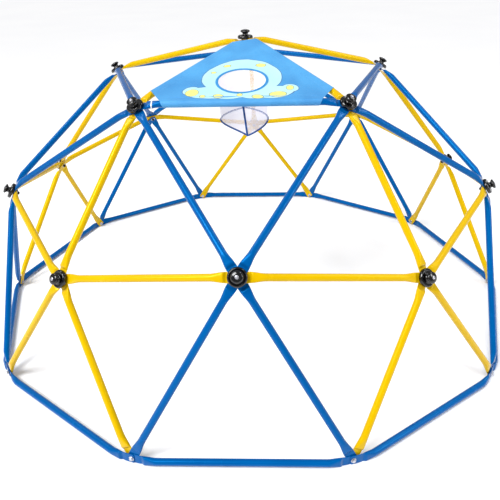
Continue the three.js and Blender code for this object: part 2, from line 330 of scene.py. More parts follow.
# %% knob plastic and bolt steel
def knob_plastic():
    """Almost black, with the roughness drifting between 0.08 and 0.15 and a shallow ripple."""
    plastic = Finish("black_gloss_plastic", paint(2, 2, 4), 0.12)
    plastic.set(Specular_IOR_Level=0.6)
    plastic.roughness(plastic.spread(plastic.noise(60.0, 4.0), 0.3, 0.7, 0.08, 0.15))
    plastic.bump(plastic.noise(45.0, 1.0), 0.001, 0.05)
    return plastic.material


def plated_steel(name, color, dull, low, high):
    """Metal whose roughness follows small cells, as zinc spangle does."""
    steel = Finish(name, color, 0.3, metallic=1.0)
    cells = steel.add("ShaderNodeTexVoronoi")
    cells.inputs["Scale"].default_value = 420.0
    steel.join(steel.place, cells.inputs["Vector"])
    steel.color(steel.blend(steel.spread(steel.noise(160.0), 0.4, 0.65), color, dull))
    steel.roughness(steel.spread(cells.outputs["Distance"], 0.0, 0.8, low, high))
    steel.bump(steel.noise(900.0, 2.0), 0.0002, 0.3)
    return steel.material


black_plastic = knob_plastic()
zinc_steel = plated_steel("zinc_plated_steel", paint(214, 214, 220), paint(172, 172, 180), 0.22, 0.42)
black_steel = plated_steel("blackened_steel", paint(58, 58, 62), paint(34, 34, 38), 0.3, 0.5)
print("hardware finishes:", black_plastic.name, zinc_steel.name, black_steel.name)

# %% [markdown]
# ## The dome's plan
# The frame is an icosahedron with each edge split in two and pushed out to a sphere, cut at its
# middle: an apex, a ring of five upper hubs, a ring of ten lower hubs, and ten ground joints.
# That needs only two lengths of tube. Each joint is stored with its outward direction, and the
# tabs of its tubes are stacked on its bolt in the order in which they are threaded.

# %% measures of the frame
GROUND_RADIUS = 1.209
SIX_WAY_RADIUS = 1.222
FIVE_WAY_RADIUS = 1.189
UPPER_RADIUS = 1.228
APEX_RADIUS = 1.206
TUBE_RADIUS = 0.0127
TAB_HALF_WIDTH = 0.018
TAB_THICKNESS = 0.0022
TAB_GAP = 0.0008
TAB_TIP = 0.010
TAB_BEND = 0.030
TAB_BEYOND = 0.005
TAB_OVAL = 0.016
TAB_ROUND = 0.060
OVAL_OPENING = 0.45
TAB_INSIDE = 0.0076

UPPER_LATITUDE = np.arctan((1 + np.sqrt(5)) / 2)
SIX_WAY_LATITUDE = np.pi / 2 - UPPER_LATITUDE
FIVE_WAY_LATITUDE = np.arctan(0.5)

joints = {}


def outward(latitude, azimuth):
    """The direction from the middle of the ground: azimuth from the front, positive to the right."""
    return np.array(
        [np.cos(latitude) * np.sin(azimuth), -np.cos(latitude) * np.cos(azimuth), np.sin(latitude)]
    )


def add_joint(name, radius, latitude, azimuth):
    """A joint lies on its direction, a radius away from a centre half a tab above the ground."""
    normal = outward(latitude, np.radians(azimuth))
    joints[name] = {"normal": normal, "point": normal * radius + [0, 0, TAB_HALF_WIDTH], "ends": []}


add_joint("apex", APEX_RADIUS, np.pi / 2, 0)
for i in range(5):
    add_joint(f"upper_{i}", UPPER_RADIUS, UPPER_LATITUDE, 36 + 72 * i)
    add_joint(f"five_{i}", FIVE_WAY_RADIUS, FIVE_WAY_LATITUDE, 36 + 72 * i)
    add_joint(f"six_{i}", SIX_WAY_RADIUS, SIX_WAY_LATITUDE, 72 * i)
for i in range(10):
    add_joint(f"ground_{i}", GROUND_RADIUS, 0, 18 + 36 * i)
print("joints:", len(joints))

# %% the tubes and the order of their tabs on each bolt
THREADING = ("ground", "crown", "apex", "blue_upper", "yellow_band", "blue_leg", "yellow_leg")

tubes = []


def add_tube(name, node, first, second):
    """One tube, the solid it stands for, and the two joints that it runs between."""
    tube = {"name": name, "node": node, "joints": (first, second), "lift": [0.0, 0.0]}
    tubes.append(tube)
    for side, joint in enumerate((first, second)):
        joints[joint]["ends"].append((tube, side))


for i in range(5):
    n = i + 1
    add_tube(f"crown_tube_{n}_steel", f"crown_tube_{n}", f"upper_{i}", f"upper_{(i + 1) % 5}")
    add_tube(f"apex_tube_{n}_steel", f"apex_tube_{n}", f"upper_{i}", "apex")
    add_tube(f"yellow_band_{n}_riser", f"yellow_band_{n}", f"five_{i}", f"upper_{i}")
    add_tube(f"yellow_band_{n}_left", f"yellow_band_{n}", f"five_{i}", f"six_{i}")
    add_tube(f"yellow_band_{n}_right", f"yellow_band_{n}", f"five_{i}", f"six_{(i + 1) % 5}")
    add_tube(f"blue_upper_{n}_left", f"blue_upper_pair_{n}", f"six_{i}", f"upper_{(i - 1) % 5}")
    add_tube(f"blue_upper_{n}_right", f"blue_upper_pair_{n}", f"six_{i}", f"upper_{i}")
    add_tube(f"blue_leg_{n}_left", f"blue_leg_pair_{n}", f"six_{i}", f"ground_{(2 * i - 1) % 10}")
    add_tube(f"blue_leg_{n}_right", f"blue_leg_pair_{n}", f"six_{i}", f"ground_{2 * i}")
    add_tube(f"yellow_leg_{n}_left", f"yellow_leg_pair_{n}", f"five_{i}", f"ground_{2 * i}")
    add_tube(f"yellow_leg_{n}_right", f"yellow_leg_pair_{n}", f"five_{i}", f"ground_{2 * i + 1}")
for i in range(10):
    add_tube(f"ground_tube_{i + 1}_steel", f"ground_tube_{i + 1}", f"ground_{i}", f"ground_{(i + 1) % 10}")


def threading_rank(end):
    """How early a tab goes on the bolt, from the outside in."""
    return next(k for k, kind in enumerate(THREADING) if end[0]["name"].startswith(kind))


for joint in joints.values():
    joint["ends"].sort(key=threading_rank)
    nodes = [tube["node"] for tube, _ in joint["ends"]]
    gaps = [0.0001 if a == b else TAB_GAP for a, b in zip(nodes, nodes[1:])]
    heights = -np.concatenate([[0], np.cumsum(np.array(gaps) + TAB_THICKNESS)])
    for (tube, side), height in zip(joint["ends"], heights):
        tube["lift"][side] = height - heights[-1] / 2
    joint["half_stack"] = -heights[-1] / 2 + TAB_THICKNESS / 2
print("tubes:", len(tubes), "thickest stack:", round(2 * max(j["half_stack"] for j in joints.values()), 4))

# %% [markdown]
# ## Tubes with pressed ends
# Each tube is a plain 25.4 mm pipe whose ends are squeezed flat in a press, punched for the
# bolt and bent to lie along the dome's skin. A pipe keeps the length of its own outline when it
# is squeezed, so the tab is wider than the pipe. Just past the knob the tab swells into an
# oval, and the oval then rounds itself slowly into the pipe.
# One outline does both ends of that change: a superellipse, |x/a|^n + |y/b|^n = 1, which is a
# circle at n = 2 and nearly a rectangle at n = 8. It is carried along the tube, while a, b and n
# move from one shape to the other. Separate tubes, each one mesh, keep the parts as real ones.

# %% tube shape
BEND_EASE = 0.010        # the bend is spread over this much on either side
TAB_CORNER = 0.005       # rounding of the tab's free corners
TUBE_SIDES = 32


def smooth_step(share):
    """Rises from 0 to 1 with level ends: 3 s^2 - 2 s^3."""
    share = np.clip(share, 0, 1)
    return share * share * (3 - 2 * share)


def end_stations():
    """Distances from the bend where rings are set, close together where the shape changes."""
    tip = -(TAB_BEND + TAB_TIP)
    corner = tip + TAB_CORNER * np.array([0.0, 0.05, 0.2, 0.5, 1.0])
    bend = np.linspace(-BEND_EASE, 0, 4)
    swell = np.linspace(TAB_BEYOND, TAB_OVAL, 7)
    taper = np.linspace(TAB_OVAL, TAB_ROUND, 10)[1:]
    return np.concatenate([corner, [-0.018], bend, swell, taper])


def outline(station):
    """The superellipse at each station: half width, half thickness and power, as arrays."""
    swell = smooth_step((station - TAB_BEYOND) / (TAB_OVAL - TAB_BEYOND))
    taper = smooth_step((station - TAB_BEYOND) / (TAB_ROUND - TAB_BEYOND))
    opening = OVAL_OPENING * swell + (1 - OVAL_OPENING) * taper
    from_tip = np.clip((station + TAB_BEND + TAB_TIP) / TAB_CORNER, 0, 1)
    rounding = TAB_CORNER * (1 - np.sqrt(1 - (1 - from_tip) ** 2))
    half_width = TAB_HALF_WIDTH + taper * (TUBE_RADIUS - TAB_HALF_WIDTH) - rounding
    half_thickness = TAB_THICKNESS / 2 + opening * (TUBE_RADIUS - TAB_THICKNESS / 2)
    power = 8 - 6 * np.sqrt(opening)
    angle = (np.arange(TUBE_SIDES) + 0.5) / TUBE_SIDES * 2 * np.pi
    sine, cosine = np.sin(angle), np.cos(angle)
    x = half_width[:, None] * np.sign(sine) * np.abs(sine) ** (2 / power[:, None])
    y = half_thickness[:, None] * np.sign(cosine) * np.abs(cosine) ** (2 / power[:, None])
    return x, y, opening


def end_rings(bend, tab_way, tube_way, across, travel):
    """Rings from the tab's tip to the round tube. The middle line is straight along the tab and
    along the tube, with a short parabola at the bend, and it moves outwards as the tube opens."""
    station = end_stations()
    near = np.clip(station, -BEND_EASE, BEND_EASE)
    share = ((near + BEND_EASE) / (2 * BEND_EASE))[:, None]
    way = np.where(station[:, None] < 0, tab_way, tube_way)
    start, end = bend - tab_way * BEND_EASE, bend + tube_way * BEND_EASE
    middle = (1 - share) ** 2 * start + 2 * share * (1 - share) * bend + share**2 * end
    middle = middle + (station - near)[:, None] * way
    tangent = unit((1 - share) * tab_way + share * tube_way) * travel
    thick = unit(np.cross(tangent, across))
    x, y, opening = outline(station)
    middle = middle + thick * (opening * TAB_INSIDE)[:, None]
    return middle[:, None] + x[..., None] * across + y[..., None] * thick[:, None]


def tube_end(tube, side):
    """The bolt's point, the way the tab runs, square to the bolt, and the bend."""
    joint, other = (joints[tube["joints"][k]] for k in (side, 1 - side))
    bolt = joint["point"] + joint["normal"] * tube["lift"][side]
    chord = other["point"] - joint["point"]
    tab_way = unit(chord - (chord @ joint["normal"]) * joint["normal"])
    return bolt, tab_way, bolt + tab_way * TAB_BEND


def make_tube(tube):
    """Both ends' rings, joined by one long straight stretch."""
    (_, way_a, bend_a), (_, way_b, bend_b) = (tube_end(tube, side) for side in (0, 1))
    run = unit(bend_b - bend_a)
    across = unit(np.cross(joints[tube["joints"][0]]["normal"], way_a))
    rise = unit(np.cross(run, across)) * TAB_INSIDE
    tube["axis"] = (bend_a + rise, bend_b + rise)
    tube["length"] = np.linalg.norm(bend_b - bend_a) + 2 * (TAB_BEND + TAB_TIP)
    first = end_rings(bend_a, way_a, run, across, 1)
    second = end_rings(bend_b, way_b, -run, across, -1)
    is_yellow = tube["name"].startswith(("yellow", "apex"))
    rings = np.concatenate([first, second[::-1]])
    piece = loft(tube["name"], rings, yellow_coat if is_yellow else blue_coat)
    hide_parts(tube["node"])


for tube in tubes:
    make_tube(tube)
lengths = sorted({round(float(tube["length"]), 2) for tube in tubes})
print("tubes made:", len(tubes), "lengths near", lengths[0], "and", lengths[-1])

# %% [markdown]
# ## Hub knobs
# A knob is one turned plastic piece: a thick round flange that clamps the tabs, a thin neck and
# a mushroom cap to hold on to. Its profile is a short list of corners, rounded by a helper and
# carried round the bolt's axis. The bolt's head is let into the cap by half its height and has a
# round hollow in it, and a washer and a domed cap nut close the stack on the inside.

# %% hub hardware profiles
KNOB_RADIUS = 0.0325
KNOB_RIM = 0.0135
NECK_RADIUS = 0.0115
CAP_RADIUS = 0.020
KNOB_HEIGHT = 0.037
HEAD_RADIUS = 0.006
CAP_RECESS = 0.0016      # depth of the hollow in the cap that takes the bolt's head
HOLE_RADIUS = 0.0042
HUB_WASHER = 0.0016
GROUND_WASHER = 0.0014

KNOB_PROFILE = [
    (0.0045, 0.0), (KNOB_RADIUS - 0.0015, 0.0), (KNOB_RADIUS, 0.002), (KNOB_RADIUS, KNOB_RIM - 0.004),
    (KNOB_RADIUS - 0.004, KNOB_RIM + 0.0005), (0.022, KNOB_RIM - 0.0012), (0.0145, KNOB_RIM + 0.0005),
    (NECK_RADIUS, KNOB_RIM + 0.004), (NECK_RADIUS, 0.0225), (CAP_RADIUS, 0.0285), (CAP_RADIUS, 0.032),
    (0.0165, 0.0352), (0.0075, KNOB_HEIGHT), (0.0066, KNOB_HEIGHT - CAP_RECESS),
    (0.0005, KNOB_HEIGHT - CAP_RECESS),
]
HEAD_PROFILE = [
    (0.0045, 0.0), (HEAD_RADIUS, 0.0), (HEAD_RADIUS, 0.0022), (0.0046, 0.0032), (0.0031, 0.0032),
    (0.0029, 0.0030), (0.0029, 0.0012), (0.0003, 0.0012),
]
CAP_NUT_PROFILE = [(0.0003, 0.0), (0.0072, 0.0), (0.0076, 0.0006), (0.0076, 0.0048), (0.0064, 0.0056)]
CAP_NUT_DOME = [(0.0060, 0.005), (0.0060, 0.0068), (0.0052, 0.0084), (0.0030, 0.0095), (0.0003, 0.0098)]


def washer_profile(hole, radius, thickness):
    """A washer's outline from the hole's edge outwards and back. Turning it also closes the
    hole, which lies round the bolt and is never seen."""
    edge = thickness * 0.25
    return [(hole, 0), (radius - edge, 0), (radius, edge), (radius, thickness - edge),
            (radius - edge, thickness), (hole, thickness)]


def make_hub(key, node):
    """The knob outside, its bolt head in the cap, a washer and a cap nut inside."""
    joint = joints[key]
    normal, seat = joint["normal"], joint["half_stack"] + 0.0004
    outside, inside = joint["point"] + normal * seat, joint["point"] - normal * seat
    label = node.replace("hub_knob_", "")
    knob = turn_on_axis(node + "_plastic", soften(KNOB_PROFILE, 0.002), outside, normal, black_plastic, 64)
    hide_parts(node)
    top = outside + normal * (KNOB_HEIGHT - CAP_RECESS)
    head = turn_on_axis(f"bolt_head_{label}", HEAD_PROFILE, top, normal, zinc_steel, 48)
    ring = washer_profile(HOLE_RADIUS, 0.011, HUB_WASHER)
    washer = turn_on_axis(f"washer_{label}", ring, inside, -normal, zinc_steel, 40)
    base = inside - normal * HUB_WASHER
    nut = turn_on_axis(f"cap_nut_{label}", CAP_NUT_PROFILE, base, -normal, black_steel, 48, flats=6)
    dome = turn_on_axis(f"cap_nut_dome_{label}", soften(CAP_NUT_DOME, 0.001), base, -normal, black_steel, 32)


make_hub("apex", "hub_knob_apex")
for kind in ("upper", "five", "six"):
    for i in range(5):
        make_hub(f"{kind}_{i}", f"hub_knob_{kind}_{i + 1}")
print("hubs made: 16")

# %% [markdown]
# ## Ground bolts
# At the ground the corner is only bolted: a zinc hex bolt and washer outside, a washer and a
# plain nut inside, with a little thread standing out of the nut. A hexagon is a turned shape
# whose radius grows towards its corners, so the same helper makes it.

# %% ground bolts
HEX_HEAD = [(0.0003, 0.0), (0.0070, 0.0), (0.0070, 0.0040), (0.0062, 0.0050), (0.0003, 0.0050)]
HEX_NUT = [
    (0.0041, 0.0), (0.0064, 0.0), (0.0070, 0.0007), (0.0070, 0.0058), (0.0064, 0.0065), (0.0041, 0.0065),
]


def thread_profile(length, radius=0.004, pitch=0.00125):
    """The bolt's end: the radius swings by a third of a millimetre, once for each turn of thread."""
    height = np.linspace(0, length, int(length / pitch) * 4 + 1)
    wave = radius - 0.00032 * (1 - np.cos(2 * np.pi * height / pitch)) / 2
    chamfer = np.clip((length - height) / 0.001, 0, 1) * 0.001 + radius - 0.001
    return np.column_stack([np.minimum(wave, chamfer), height])


def make_ground_bolt(i):
    """Head and washer outside, washer, nut and thread inside, all on the joint's axis."""
    joint = joints[f"ground_{i}"]
    normal, seat = joint["normal"], joint["half_stack"] + 0.0002
    outside, inside = joint["point"] + normal * seat, joint["point"] - normal * seat
    washer = washer_profile(HOLE_RADIUS, 0.0095, GROUND_WASHER)
    over, under = outside + normal * GROUND_WASHER, inside - normal * GROUND_WASHER
    thread = thread_profile(0.0105)
    n = i + 1
    pieces = [
        turn_on_axis(f"ground_washer_out_{n}", washer, outside, normal, zinc_steel, 40),
        turn_on_axis(f"ground_bolt_head_{n}", HEX_HEAD, over, normal, zinc_steel, 48, flats=6),
        turn_on_axis(f"ground_washer_in_{n}", washer, inside, -normal, zinc_steel, 40),
        turn_on_axis(f"ground_nut_{n}", HEX_NUT, under, -normal, zinc_steel, 48, flats=6),
        turn_on_axis(f"ground_thread_{n}", thread, inside, -normal, zinc_steel, 24, sharp=80),
    ]


for i in range(10):
    make_ground_bolt(i)
print("ground bolts made: 10")

# %% [markdown]
# ## Toss panel
# The panel is one sheet of coated cloth stretched between three tubes. Each long edge is folded
# round its tube and sewn back to the underside, which makes a sleeve; the three corners are cut
# off short of the hubs. The surface is a grid of rings that runs from the oval mouth out to the
# cut outline, and goes on round each tube as the sleeve's loop. Its height follows the tubes
# with a small sag between them, and low ripples cross it between the sleeves and the mouth.

# %% where the panel lies
SLEEVE_RADIUS = 0.0138
SLEEVE_FROM_APEX = 0.076
SLEEVE_FROM_UPPER = 0.087
SLEEVE_FROM_CORNER = 0.090
SLEEVE_SLANT = 0.017
SEAM_INSIDE = 0.027
MOUTH_HALF = np.array([0.090, 0.087])
MOUTH_UP = 0.142

by_name = {tube["name"]: tube for tube in tubes}
right_tube = by_name["apex_tube_1_steel"]
left_tube = by_name["apex_tube_5_steel"]
front_tube = by_name["crown_tube_5_steel"]
middles = [np.mean(tube["axis"], axis=0) for tube in (right_tube, left_tube, front_tube)]
panel_foot = middles[2]
panel_normal = unit(np.cross(middles[0] - middles[2], middles[1] - middles[2]))
panel_across = unit(np.array([1.0, 0, 0]) - panel_normal[0] * panel_normal)
panel_up = np.cross(panel_normal, panel_across)
print("panel tilt in degrees:", round(float(np.degrees(np.arccos(panel_normal[2]))), 1))


def to_plan(points):
    """Metres across, up and above the panel's plane, measured from the middle of the front tube."""
    offset = points - panel_foot
    return np.stack([offset @ panel_across, offset @ panel_up, offset @ panel_normal], axis=-1)


def from_plan(plan):
    """The point of the dome at a place in the panel's own plan."""
    axes = np.stack([panel_across, panel_up, panel_normal])
    return panel_foot + plan @ axes


def along_tube(tube, side, from_bolt):
    """The point on a tube's axis at a distance from the bolt at one of its ends."""
    near, far = tube["axis"][side], tube["axis"][1 - side]
    return near + unit(far - near) * (from_bolt - TAB_BEND)


# %% panel grid
EDGE_STEPS = 72
CUT_STEPS = 8
RING_STEPS = 26
LOOP_STEPS = 20

sleeve_ends = [
    (along_tube(right_tube, 1, SLEEVE_FROM_APEX), along_tube(right_tube, 0, SLEEVE_FROM_UPPER)),
    (along_tube(front_tube, 1, SLEEVE_FROM_CORNER), along_tube(front_tube, 0, SLEEVE_FROM_CORNER)),
    (along_tube(left_tube, 0, SLEEVE_FROM_UPPER), along_tube(left_tube, 1, SLEEVE_FROM_APEX)),
]
edge_plans = [to_plan(np.linspace(start, end, EDGE_STEPS + 1)) for start, end in sleeve_ends]
edge_plans = [plan + [0, 0, SLEEVE_RADIUS] for plan in edge_plans]


def cut_between(start, end):
    """The straight edge that cuts a corner off, from one sleeve's end to the next one's start."""
    share = np.linspace(0, 1, CUT_STEPS + 1)[1:-1, None]
    return start + (end - start) * share


outline_parts = []
for k in range(3):
    next_edge = edge_plans[(k + 1) % 3]
    outline_parts += [edge_plans[k], cut_between(edge_plans[k][-1], next_edge[0])]
outline_plan = np.concatenate(outline_parts)


def mouth_edge(angle, grow=0.0):
    """The oval's point in each direction: half axes times the cosine and sine, scaled so that
    the direction is kept."""
    half_x, half_y = MOUTH_HALF + grow
    reach = 1 / np.sqrt((np.cos(angle) / half_x) ** 2 + (np.sin(angle) / half_y) ** 2)
    return np.stack([reach * np.cos(angle), reach * np.sin(angle)], axis=-1) + [0, MOUTH_UP]


def panel_height(plan, height, share):
    """The height above the tubes' plane: the edge's own height, a sag that is greatest midway
    between edge and mouth, and ripples that fade towards both."""
    x, y = plan[..., 0], plan[..., 1]
    sag = -0.0022 * np.sin(np.pi * share)
    ripple = 0.0013 * np.sin(38 * x + 9 * y) + 0.0010 * np.sin(24 * y - 33 * x + 1.3)
    return height + sag + ripple * np.sin(np.pi * share)


outline_angle = np.arctan2(outline_plan[:, 1] - MOUTH_UP, outline_plan[:, 0])
mouth_plan = mouth_edge(outline_angle)
share = np.linspace(0, 1, RING_STEPS + 1)[:, None]
flat_plan = mouth_plan[None] * (1 - share[..., None]) + outline_plan[None, :, :2] * share[..., None]
mouth_level = outline_plan[:, 2].mean() - 0.001
level = mouth_level * (1 - share) + outline_plan[None, :, 2] * share
grid_plan = np.concatenate([flat_plan, panel_height(flat_plan, level, share)[..., None]], axis=-1)
print("panel grid:", grid_plan.shape[:2], "mouth level above the tubes:", round(float(mouth_level), 4))

# %% sleeve loops


def sleeve_loop(start, end):
    """Carries a loop along one tube: round its axis from the top over the outer side to the
    lower inner side, then straight up to the seam under the panel. The corner cut runs on
    slantwise round the tube, so each row starts further along than the one before."""
    run = unit(end - start)
    inwards = unit(np.cross(run, panel_normal))
    if inwards @ (from_plan(np.array([0, MOUTH_UP, 0])) - start) < 0:
        inwards = -inwards
    rise = unit(np.cross(run, inwards))
    rise = rise if rise @ panel_normal > 0 else -rise
    seam = np.array([SEAM_INSIDE, SLEEVE_RADIUS - 0.0016])
    leaving = np.arctan2(seam[1], seam[0]) - np.arccos(SLEEVE_RADIUS / np.hypot(*seam))
    angle = np.linspace(-1.5 * np.pi, leaving, LOOP_STEPS)
    circle = np.column_stack([np.cos(angle), np.sin(angle)]) * SLEEVE_RADIUS
    climb = np.linspace(0, 1, 5)[1:, None]
    section = np.concatenate([circle, circle[-1] + (seam - circle[-1]) * climb])
    unrolled = np.concatenate([[0], np.cumsum(np.linalg.norm(np.diff(section, axis=0), axis=1))])
    slant = SLEEVE_SLANT * np.clip(unrolled / (np.pi * SLEEVE_RADIUS), 0, 1)[:, None]
    along = slant + (np.linalg.norm(end - start) - 2 * slant) * np.linspace(0, 1, EDGE_STEPS + 1)
    axis = start + along[..., None] * run
    points = axis + section[:, 0, None, None] * inwards + section[:, 1, None, None] * rise
    away = to_plan(start - inwards) - to_plan(start)
    plan = to_plan(axis) + unrolled[:, None, None] * away
    return points, plan


def build_panel(material):
    """The flat grid and the three loops, joined where a loop's first row lies on the outline."""
    points = [from_plan(grid_plan).reshape(-1, 3)]
    plans = [grid_plan.reshape(-1, 3)]
    columns = grid_plan.shape[1]
    faces = grid_quads(RING_STEPS + 1, columns, wrap_columns=True)[:, ::-1].tolist()
    for k, (start, end) in enumerate(sleeve_ends):
        loop, plan = sleeve_loop(start, end)
        first = sum(len(part) for part in points)
        offset = k * (EDGE_STEPS + CUT_STEPS)
        outline_row = RING_STEPS * columns + offset + np.arange(EDGE_STEPS + 1)
        strip = grid_quads(len(loop), EDGE_STEPS + 1, wrap_columns=False)
        numbers = np.concatenate([outline_row, first + np.arange((len(loop) - 1) * (EDGE_STEPS + 1))])
        faces += numbers[strip][:, ::-1].tolist()
        points.append(loop[1:].reshape(-1, 3))
        plans.append(plan[1:].reshape(-1, 3))
    piece = make_piece("toss_panel_cloth", np.concatenate(points), faces, material, sharp=70)
    plan = piece.data.attributes.new("plan", "FLOAT_VECTOR", "POINT")
    plan.data.foreach_set("vector", np.concatenate(plans).astype(np.float32).ravel())
    return piece


print("sleeve helpers ready")

# %% [markdown]
# ### Printed cloth
# The cloth is a plain weave with a thin coating, printed with a big pale splash, a dark outline
# and yellow spots. The print is worked out in the cloth's own plan, in metres, which each point
# carries as an attribute, so it runs on round the sleeves. Each spot or lobe is an ellipse. How
# far outside it a point lies is (|p - centre| / radii - 1) x radius, and the smallest of those
# numbers is the distance to the whole splash. A narrow band where it is near zero is the outline.

# %% panel cloth
PANEL_BLUE = paint(67, 151, 208)
INK = paint(60, 92, 136)

SPLASH = [
    ((-0.002, 0.168), (0.150, 0.150)), ((-0.118, 0.056), (0.084, 0.046)), ((0.112, 0.056), (0.080, 0.046)),
    ((-0.184, 0.072), (0.034, 0.034)), ((0.178, 0.080), (0.030, 0.030)), ((-0.048, 0.040), (0.056, 0.032)),
    ((0.048, 0.040), (0.056, 0.032)),
]
SPOTS = [
    ((-0.181, 0.058), (0.025, 0.027)), ((-0.139, 0.028), (0.011, 0.010)), ((-0.083, 0.033), (0.019, 0.016)),
    ((-0.005, 0.037), (0.010, 0.010)), ((0.061, 0.022), (0.020, 0.014)), ((0.134, 0.040), (0.031, 0.021)),
    ((0.178, 0.084), (0.013, 0.017)), ((-0.062, 0.268), (0.014, 0.011)), ((0.070, 0.266), (0.019, 0.014)),
    ((-0.112, 0.218), (0.010, 0.009)),
]


def outside_of(cloth, place, centre, radii):
    """How far outside an ellipse the place lies, in metres."""
    offset = cloth.vector("SUBTRACT", place, (*centre, 0.0))
    scaled = cloth.vector("MULTIPLY", offset, (1 / radii[0], 1 / radii[1], 0.0))
    return cloth.math("MULTIPLY_ADD", cloth.vector("LENGTH", scaled), min(radii), -min(radii))


def nearest(cloth, place, shapes):
    """The smallest distance to any of the shapes."""
    distance = None
    for centre, radii in shapes:
        found = outside_of(cloth, place, centre, radii)
        distance = found if distance is None else cloth.math("MINIMUM", distance, found)
    return distance


def printed_line(cloth, distance):
    """1 in a narrow band along a shape's edge, where its distance is near zero."""
    return cloth.spread(cloth.math("ABSOLUTE", distance), 0.0010, 0.0016, 1.0, 0.0)


def weave_height(cloth, place, pitch):
    """Two crossed sine waves, one for the warp and one for the weft."""
    parts = cloth.add("ShaderNodeSeparateXYZ")
    cloth.join(place, parts.inputs[0])
    turns = 2 * np.pi / pitch
    warp = cloth.math("SINE", cloth.math("MULTIPLY", parts.outputs[0], turns))
    weft = cloth.math("SINE", cloth.math("MULTIPLY", parts.outputs[1], turns))
    return cloth.math("MULTIPLY", warp, weft)


def panel_cloth():
    """Blue ground, pale splash, outline and spots, with a weave for height and broad patches of painted light
    and shade from the folds.
    """
    cloth = Finish("printed_panel_cloth", PANEL_BLUE, 0.62)
    plan = cloth.add("ShaderNodeAttribute", attribute_name="plan").outputs["Vector"]
    wobble = cloth.spread(cloth.noise(9.0, 2.0, plan), 0.3, 0.7, -0.004, 0.004)
    splash = cloth.math("ADD", nearest(cloth, plan, SPLASH), wobble)
    spots = cloth.math("ADD", nearest(cloth, plan, SPOTS), cloth.math("MULTIPLY", wobble, 0.3))
    # Slow noise moves the blue ground and the pale splash between a lighter and a darker tone in broad
    # patches: painted light and shade of the cloth's folds.
    fold_light_and_shade = cloth.spread(cloth.noise(6.0, 3.0, plan), 0.35, 0.65)
    ground = cloth.blend(fold_light_and_shade, PANEL_BLUE, paint(50, 130, 190))
    pale = cloth.blend(fold_light_and_shade, paint(176, 220, 238), paint(164, 212, 234))
    color = cloth.blend(cloth.spread(splash, -0.0004, 0.0004, 1.0, 0.0), ground, pale)
    color = cloth.blend(printed_line(cloth, splash), color, INK)
    color = cloth.blend(cloth.spread(spots, -0.0004, 0.0004, 1.0, 0.0), color, paint(240, 230, 122))
    color = cloth.blend(printed_line(cloth, spots), color, paint(128, 150, 110))
    cloth.color(color)
    cloth.roughness(cloth.spread(cloth.noise(90.0, 3.0, plan), 0.3, 0.7, 0.5, 0.7))
    cloth.bump(weave_height(cloth, plan, 0.0011), 0.00015, 0.5)
    cloth.set(Sheen_Weight=0.15, Sheen_Roughness=0.4)
    return cloth.material


panel = build_panel(panel_cloth())
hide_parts("toss_panel")
print("panel points:", len(panel.data.vertices))

# %% [markdown]
# ### Binding, stitches and tie
# The mouth's raw edge is covered by a folded tape, which is a flat cord carried round the oval.
# A double row of stitches holds each sleeve and a single row holds the tape. One stitch is a
# short six-sided bead of thread, and hundreds of them are placed at once by adding their centres
# to one small block of points. One white elastic band is tied round a tube's end at a corner.


# %% plain cloth and thread
def plain_cloth(name, color, deep, roughness=0.7):
    """Webbing and tape: a fine rib for height and a slow change of shade."""
    cloth = Finish(name, color, roughness)
    cloth.color(cloth.blend(cloth.spread(cloth.noise(60.0), 0.35, 0.7), color, deep))
    cloth.bump(cloth.noise(1400.0, 2.0), 0.0003, 0.5)
    cloth.set(Sheen_Weight=0.2, Sheen_Roughness=0.4)
    return cloth.material


tape_cloth = plain_cloth("mouth_tape", paint(30, 132, 194), paint(24, 118, 180))
piping_cloth = plain_cloth("dark_blue_piping", paint(0, 74, 146), paint(0, 60, 128))
thread_cloth = plain_cloth("sewing_thread", paint(120, 190, 236), paint(100, 172, 224))
white_webbing = plain_cloth("white_elastic", paint(240, 240, 240), paint(222, 222, 226))

# %% mouth tape, stitch rows and corner tie
STITCH = 0.0030
STITCH_STEP = 0.0045


def surface_level(flat):
    """The panel's height at places in its plan: that of the nearest point of its grid."""
    known = grid_plan.reshape(-1, 3)
    gaps = ((flat[:, None, :2] - known[None, :, :2]) ** 2).sum(axis=2)
    return known[gaps.argmin(axis=1), 2]


def stitch_row(path_plan):
    """The middles and directions of stitches set at an even step along a path in the plan."""
    run = np.concatenate([[0], np.cumsum(np.linalg.norm(np.diff(path_plan[:, :2], axis=0), axis=1))])
    at = np.arange(STITCH_STEP, run[-1] - STITCH_STEP / 2, STITCH_STEP)
    middle = np.column_stack([np.interp(at, run, path_plan[:, k]) for k in range(2)])
    ahead = np.column_stack([np.interp(at + 0.001, run, path_plan[:, k]) for k in range(2)])
    level = surface_level(middle)[:, None] + 0.0002
    return np.hstack([middle, level]), unit(np.hstack([ahead - middle, np.zeros((len(at), 1))]))


def stitches(name, rows, material):
    """One bead per stitch: two pointed ends and a ring of four between, on the panel's surface."""
    middle = np.concatenate([row[0] for row in rows])
    ahead = np.concatenate([row[1] for row in rows])
    beside = np.stack([-ahead[:, 1], ahead[:, 0], np.zeros(len(ahead))], axis=1)
    over = np.array([0, 0, 1.0])
    half, thick = STITCH / 2, 0.00045
    ring = [beside * thick, over * thick + 0 * beside, -beside * thick, -over * thick + 0 * beside]
    corners = [middle - ahead * half] + [middle + side for side in ring] + [middle + ahead * half]
    points = from_plan(np.stack(corners, axis=1)).reshape(-1, 3)
    bead = [(0, 2, 1), (0, 3, 2), (0, 4, 3), (0, 1, 4), (5, 1, 2), (5, 2, 3), (5, 3, 4), (5, 4, 1)]
    faces = (np.array(bead)[None] + 6 * np.arange(len(middle))[:, None, None]).reshape(-1, 3)
    return make_piece(name, points, faces.tolist(), material, sharp=90)


def inset_edge(plan, inset):
    """A sleeve's edge moved towards the mouth by a distance, and trimmed at both ends."""
    run = unit(plan[-1] - plan[0])
    inwards = np.array([-run[1], run[0], 0])
    to_mouth = np.array([0, MOUTH_UP, 0]) - plan.mean(axis=0)
    inwards = inwards if inwards[:2] @ to_mouth[:2] > 0 else -inwards
    return plan[2:-2] + inwards * inset


